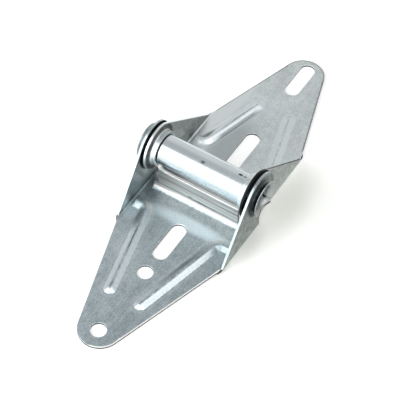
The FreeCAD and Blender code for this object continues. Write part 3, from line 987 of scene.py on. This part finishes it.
def tube_zinc(finish):
    """Bright zinc on the tube: long drawn streaks, faint cloud and a few dark scuffs, dull in the bore, with
    painted shade behind the flares and along their flat, painted dark lines for the lip's reflection, and
    painted highlights on the left flare and in the right bore"""
    s = Zinc("zinc_tube", finish)
    cloud = s.noise(70, 3)
    grain = s.noise(800, 3, 0.7)
    drawn = s.noise((40, 800, 800), 3, 0.6)
    tone = cloud * 0.5 + grain * 0.3 + drawn * 0.4 - 0.1
    s.colour = s.blend(tone.smooth(0.2, 0.8), finish.tube_colour, finish.tube_light)
    bore = s.depth.smooth(0.9, 1.0)
    s.lay(bore * 0.85, finish.bore_colour)
    s.darken(drawn.smooth(0.72, 0.8) * 0.25)
    broken = grain.smooth(0.2, 0.45)
    for centre, reach, share in TUBE_MARKS:
        s.darken(s.spot(centre, reach) * share * broken)
    gloss = finish.tube_gloss + (cloud - 0.5) * 0.12 + (grain - 0.5) * 0.04 + s.dark * 0.25 + bore * 0.2
    right = s.x.smooth(0, 1)
    outside = s.depth.smooth(0.1, 0.0)
    # Shade behind the right flare and in the collar's mouth at the left
    s.darken(outside * s.side.smooth(27.5, 28.1) * right * 0.75)
    s.darken(outside * s.x.band(-21.0, -20.4, 0.15))
    # Dark lines beside the lip: painted reflection of the lip
    low = s.z.smooth(1, -2) * s.y.smooth(-2, -4) * s.side.smooth(21.5, 20.5)
    s.darken(s.noise((15, 15, 1000), 1, 0.6).smooth(0.44, 0.56) * low * 0.75)
    # Painted shade on the cut edge along the flat of the flares, and on the rim of the right one
    s.darken(s.z.smooth(-6.1, -6.4) * s.side.smooth(28.2, 28.6) * s.depth.smooth(0.1, 0.3) * 0.95)
    s.darken(s.depth.band(0.1, 0.9, 0.1) * s.side.smooth(28.5, 29.0) * right * 0.45)
    # Dark line at the top of the right bore
    s.darken(s.spot((28.0, 5.9, 1.4), (1.0, 1.8, 2.6)) * bore * 0.45)
    # Painted highlights: on the outside of the left flare, and a glint in the right bore
    painted_glint = s.spot((27.8, 1.6, -5.2), (1.4, 3.0, 1.3)) * bore
    left_flare_highlight = outside * s.x.smooth(-27.5, -28.2) * 0.85
    s.lay(left_flare_highlight.most(painted_glint), finish.flare_highlight_colour)
    s.lay(s.dark.clamped(), finish.mark_colour)
    metallic = (1 - 0.6 * bore).least(1 - 0.95 * painted_glint)
    return s.surface(gloss, metallic, drawn * 0.5 + grain * 0.05, strength=0.16, distance=0.00005)


def floor_zone(s, x, y, reach_x, reach_y):
    """1 at a place on the floor, 0 beyond an ellipse round it, in millimetres"""
    return s.spot((x, y, 0.0), (reach_x, reach_y, 60.0))


def pale_floor(stage):
    """Floor that glows for the camera and in the metal, apart from the hinge's shade on it"""
    s = Shader(bpy.data.materials.new("pale_floor"))
    camera, mirrored = s.rays()
    # Deep shade in the gap under the left ears
    below = floor_zone(s, -27.2, 2.9, 4.2, 4.5)
    shade = s.blend(below * 0.9, stage.floor_colour, (0.04, 0.04, 0.04))
    # The glow thins where the hinge keeps the light off, most beside its right ear
    shadow = floor_zone(s, 30.5, 9.0, 17.0, 48.0) * 0.22
    shadow = shadow + floor_zone(s, 27.0, -12.0, 10.0, 19.0) * 0.18
    shadow = shadow + floor_zone(s, 42.0, 26.0, 28.0, 32.0) * 0.09
    shadow = shadow + floor_zone(s, 24.5, -29.0, 7.0, 11.0) * 0.25
    # Beside the hinge, away from the lamps, the metal mirrors a shaded floor
    beside = floor_zone(s, 58.0, 20.0, 60.0, 110.0) * 0.9
    light = camera * (stage.floor_seen - shadow) + mirrored * stage.floor_mirrored * (1 - beside)
    warm = s.blend((shadow * 4).clamped(), (1, 1, 1), (1, 1, 0.88))
    glow = s.blend(light * (1 - below), (0, 0, 0), warm)
    matt = {"Roughness": 1.0, "Specular IOR Level": 0.0, "Emission Strength": 1.0}
    return s.principled({"Base Color": shade, "Emission Color": glow, **matt})


def surroundings(stage):
    """World that is white for the camera and in the metal, dimmer as light and overhead"""
    s = Shader(bpy.data.worlds.new("studio"))
    camera, mirrored = s.rays()
    direction = s.node("ShaderNodeTexCoord").outputs["Generated"]
    height = s.value("ShaderNodeSeparateXYZ", {"Vector": direction}, "Z").clamped()
    shade = 1 - height.ramp(0.66, 0.84) * (1 - stage.ceiling)
    light = (stage.fill + camera.most(mirrored) * (1 - stage.fill)) * shade
    back = s.node("ShaderNodeBackground", {"Color": light})
    s.node("ShaderNodeOutputWorld", {0: back.outputs[0]})
    return s.owner


# Operators, one for each piece and one for the stage


def leaf_piece(name, leaf, surface, material, flip_y=False):
    """Leaf's surface made solid. Its points carry their distances from the bead's line, from
    the crest of its leg and from the outer edge, and their depth in the sheet"""
    sheet = leaf.sheet
    points, quads = surface.arrays(flip_y)
    x = np.abs(points[:, 0])
    y = -points[:, 1] if flip_y else points[:, 1]
    near, crest = leaf.bead_distance(x, y)
    near, crest = np.where(points[:, 2] < sheet.top + sheet.bead_rise + 0.1, (near, crest), FAR)
    edge = leaf.edge_distance(x, y)
    points, normals, quads, source, depth = shell(points, quads, sheet.thickness, sheet.arris)
    marks = {"bead": near[source], "crest": crest[source], "depth": depth, "edge": edge[source]}
    return make_piece(name, points, normals, quads, material, marks)


class BuildFrontLeaf(bpy.types.Operator):
    """Front leaf with its outer ears and lip"""
    bl_idname = "hinge.front_leaf"
    bl_label = "Front leaf"

    def execute(self, context):
        part = sizes("hinge_front")
        lip = sizes("hinge_lip")
        sheet = sizes("hinge_sheet")
        tube = sizes("hinge_tube")
        clearance = 0.04
        holes = ((part.tip_hole_y, 2 * part.hole_r), (part.mid_hole_y, 2 * part.hole_r),
                 (part.slot_y, part.slot_length))
        leaf = Leaf(part, sheet, holes)
        start = lip.face_y + lip.bend
        edge = lip.half - sheet.arris
        foot = lip.foot_half - sheet.arris
        strip = lip.strip_x + sheet.arris
        horn = lip.half - lip.horn_width
        fillet = horn - lip.horn_round
        x = np.concatenate([even(0, fillet, STEP), even(fillet, horn, 0.2)[1:], even(horn, edge, 0.45)[1:],
                            even(edge, foot, STEP)[1:], [strip], even(strip, leaf.fold_x, 0.5)[1:]])
        rows = leaf.rows(start)
        strip_rows = even(leaf.near_y, start, STEP)
        fold = leaf.fold(np.concatenate([strip_rows[:-1], rows[rows <= leaf.fold_y + SLACK]]))
        low, upper = lip_grids(leaf, lip, x[x <= foot + SLACK])
        surface = Sheet()
        surface.add(leaf.plate(rows, x / leaf.fold_x), UP)
        surface.add(stack(x[x >= strip - SLACK][None, :], strip_rows[:, None], sheet.top), UP)
        surface.add(fold.transpose(1, 0, 2), UP)
        surface.add(leaf.ear(fold[:, -1, 1], tube.radius + clearance + sheet.arris), INWARD)
        surface.add(low, UP)
        surface.add(upper, (0, 1, 0), mirrored=False)
        material = front_zinc(context.scene.hinge_finish, leaf, lip)
        piece = leaf_piece("front_leaf_sheet", leaf, surface, material, flip_y=True)
        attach(piece, "front")
        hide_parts("front_leaf")
        return {"FINISHED"}


class BuildBackLeaf(bpy.types.Operator):
    """Back leaf with its inner ears and their collars"""
    bl_idname = "hinge.back_leaf"
    bl_label = "Back leaf"

    def execute(self, context):
        part = sizes("hinge_back")
        sheet = sizes("hinge_sheet")
        holes = ((part.mid_slot_y, part.mid_slot_length), (part.end_slot_y, part.end_slot_length))
        leaf = Leaf(part, sheet, holes)
        rows = leaf.rows(leaf.near_y)
        fold = leaf.fold(rows[rows <= leaf.fold_y + SLACK])
        root = part.collar_r + part.collar_round
        points_fillet = 7
        angle = np.linspace(0, math.pi / 2, points_fillet)[1:]
        curve_x = part.ear_x - part.collar_round * (1 - np.cos(angle))
        curve_r = root - part.collar_round * np.sin(angle)
        reach = even(part.ear_x - part.collar_round, part.ear_x - part.collar_length + sheet.arris, 0.5)[1:]
        collar = np.concatenate([np.column_stack([curve_x, curve_r]),
                                 np.column_stack([reach, np.full_like(reach, part.collar_r)])])
        surface = Sheet()
        surface.add(leaf.plate(rows, even(0, 1, STEP / leaf.fold_x)), UP)
        surface.add(fold.transpose(1, 0, 2), UP)
        surface.add(leaf.ear(fold[:, -1, 1], root, collar), INWARD)
        material = back_zinc(context.scene.hinge_finish, leaf)
        piece = leaf_piece("back_leaf_sheet", leaf, surface, material)
        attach(piece, "back")
        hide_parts("back_leaf")
        return {"FINISHED"}


class BuildTube(bpy.types.Operator):
    """Rolled tube with flared ends and an open seam"""
    bl_idname = "hinge.tube"
    bl_label = "Roller tube"

    def execute(self, context):
        tube = sizes("hinge_tube")
        arris = 0.15
        points_round = 121
        centre_r = tube.radius + tube.curl
        mouth_start = tube.straight - tube.mouth_back
        mouth_end = mouth_start + tube.mouth_length
        # Half of the length, as places along the straight part and shares of the flare, with
        # two rows close together where the seam widens
        needed = np.array([0.0, mouth_start - 0.04, mouth_start + 0.04, tube.straight])
        straight_x = merged(needed, even(0, tube.straight, 1.5), 0.3)
        share_end = math.asin((mouth_end - tube.straight) / tube.curl) / tube.sweep
        needed = np.array([share_end - 0.02, share_end + 0.02, 1.0])
        shares = merged(needed, np.linspace(0, 1, 15)[1:], 0.03)
        x_line = np.concatenate([straight_x, np.full(len(shares), tube.straight)])
        share_line = np.concatenate([np.zeros(len(straight_x)), shares])
        in_mouth = (x_line > mouth_start) & (share_line < share_end)
        flared = tube.gap + (tube.rim_gap - tube.gap) * share_line ** 2
        gap = np.where(in_mouth, tube.mouth, flared) / 2 + arris
        half_angle = (gap / tube.radius)[:, None]
        share = np.linspace(0, 1, points_round)[None, :]
        angle = tube.seam + half_angle + share * (2 * math.pi - 2 * half_angle)
        # The flare curls out on an arc, less where the flat under it cuts it short
        down = np.maximum(-np.sin(angle), TINY)
        rim = np.minimum(centre_r - tube.curl * math.cos(tube.sweep), tube.flat / down - arris)
        most = np.arccos(np.clip((centre_r - rim) / tube.curl, -1, 1))
        curl = share_line[:, None] * (most - arris / tube.curl)
        x = x_line[:, None] + tube.curl * np.sin(curl)
        r = centre_r - tube.curl * np.cos(curl)
        outward = (0, math.cos(tube.seam), math.sin(tube.seam))
        surface = Sheet()
        surface.add(stack(x, r * np.cos(angle), r * np.sin(angle)), outward)
        points, quads = surface.arrays()
        flare = ease((np.abs(points[:, 0]) - tube.straight) / (tube.curl * math.sin(tube.sweep)))
        wall = tube.wall + (tube.rim_wall - tube.wall) * flare
        points, normals, quads, _, depth = shell(points, quads, wall, arris)
        material = tube_zinc(context.scene.hinge_finish)
        piece = make_piece("roller_tube_rolled", points, normals, quads, material, {"depth": depth})
        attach(piece, "front")
        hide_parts("roller_tube")
        return {"FINISHED"}


def area_lamp(name, direction, face, power, target):
    """Soft lamp a metre from the target, which it faces. Its face is a width and a height"""
    data = bpy.data.lights.new(name, "AREA")
    data.shape = "RECTANGLE"
    data.size, data.size_y = face
    data.energy = power
    data.color = (0.955, 0.98, 1.0)
    lamp = link(name, data)
    away = Vector(direction).normalized()
    lamp.location = target + away
    lamp.rotation_euler = away.to_track_quat("Z", "Y").to_euler()


def add_camera(stage, target):
    """Camera on a sphere round the target, rolled a little, with the view shifted"""
    a = stage.azimuth
    e = stage.elevation
    away = Vector((math.sin(a) * math.cos(e), -math.cos(a) * math.cos(e), math.sin(e)))
    right = (-away).cross(Vector((0, 0, 1))).normalized()
    up = right.cross(-away)
    c = math.cos(stage.roll)
    s = math.sin(stage.roll)
    right, up = c * right + s * up, c * up - s * right
    data = bpy.data.cameras.new("camera")
    data.lens = stage.lens
    data.sensor_width = 36.0
    data.sensor_fit = "HORIZONTAL"
    data.shift_x = stage.shift_x
    data.shift_y = stage.shift_y
    data.clip_start = 0.01
    camera = link("camera", data)
    turned = Matrix((right, up, away)).transposed().to_4x4()
    camera.matrix_world = Matrix.Translation(target + away * stage.distance) @ turned
    bpy.context.scene.camera = camera


class BuildStage(bpy.types.Operator):
    """Floor, soft lamps, surroundings and camera"""
    bl_idname = "hinge.stage"
    bl_label = "Stage"

    def execute(self, context):
        stage = context.scene.hinge_stage
        sheet = sizes("hinge_sheet")
        under = (sheet.top - sheet.thickness) / 1000
        gap = 0.0001
        w = 3.0
        z = under - gap
        mesh = bpy.data.meshes.new("floor")
        mesh.from_pydata([(-w, -w, z), (w, -w, z), (w, w, z), (-w, w, z)], [], [(0, 1, 2, 3)])
        mesh.materials.append(pale_floor(stage))
        floor = link("floor", mesh)
        context.scene.world = surroundings(stage)
        target = Vector((0, 0, under))
        area_lamp("key", (-0.25, -0.80, 0.545), (1.5, 1.3), stage.key_power, target)
        area_lamp("side", (0.46, 0.0, 0.89), (0.75, 0.42), stage.side_power, target)
        add_camera(stage, Vector((0, stage.target_y, under)))
        context.scene.view_settings.view_transform = "Standard"
        return {"FINISHED"}


class HINGE_PT_pieces(bpy.types.Panel):
    """Buttons for the pieces and the sizes they use"""
    bl_label = "Roller hinge"
    bl_idname = "HINGE_PT_pieces"
    bl_space_type = "VIEW_3D"
    bl_region_type = "UI"
    bl_category = "Hinge"

    def draw(self, context):
        layout = self.layout
        for operator in OPERATORS:
            layout.operator(operator.bl_idname)
        for name in GROUPS:
            box = layout.box()
            box.label(text=GROUPS[name].__doc__)
            group = getattr(context.scene, name)
            for key in GROUPS[name].__annotations__:
                box.prop(group, key)


OPERATORS = (BuildFrontLeaf, BuildBackLeaf, BuildTube, BuildStage)


def register():
    """Add the properties, the operators and the panel"""
    for name, group in GROUPS.items():
        bpy.utils.register_class(group)
        setattr(bpy.types.Scene, name, bpy.props.PointerProperty(type=group))
    for operator in OPERATORS:
        bpy.utils.register_class(operator)
    bpy.utils.register_class(HINGE_PT_pieces)


def unregister():
    """Take them away again"""
    bpy.utils.unregister_class(HINGE_PT_pieces)
    for operator in reversed(OPERATORS):
        bpy.utils.unregister_class(operator)
    for name, group in reversed(GROUPS.items()):
        delattr(bpy.types.Scene, name)
        bpy.utils.unregister_class(group)


def main():
    """Build everything"""
    register()
    bpy.ops.hinge.front_leaf()
    bpy.ops.hinge.back_leaf()
    bpy.ops.hinge.tube()
    bpy.ops.hinge.stage()


if __name__ == "__main__":
    main()
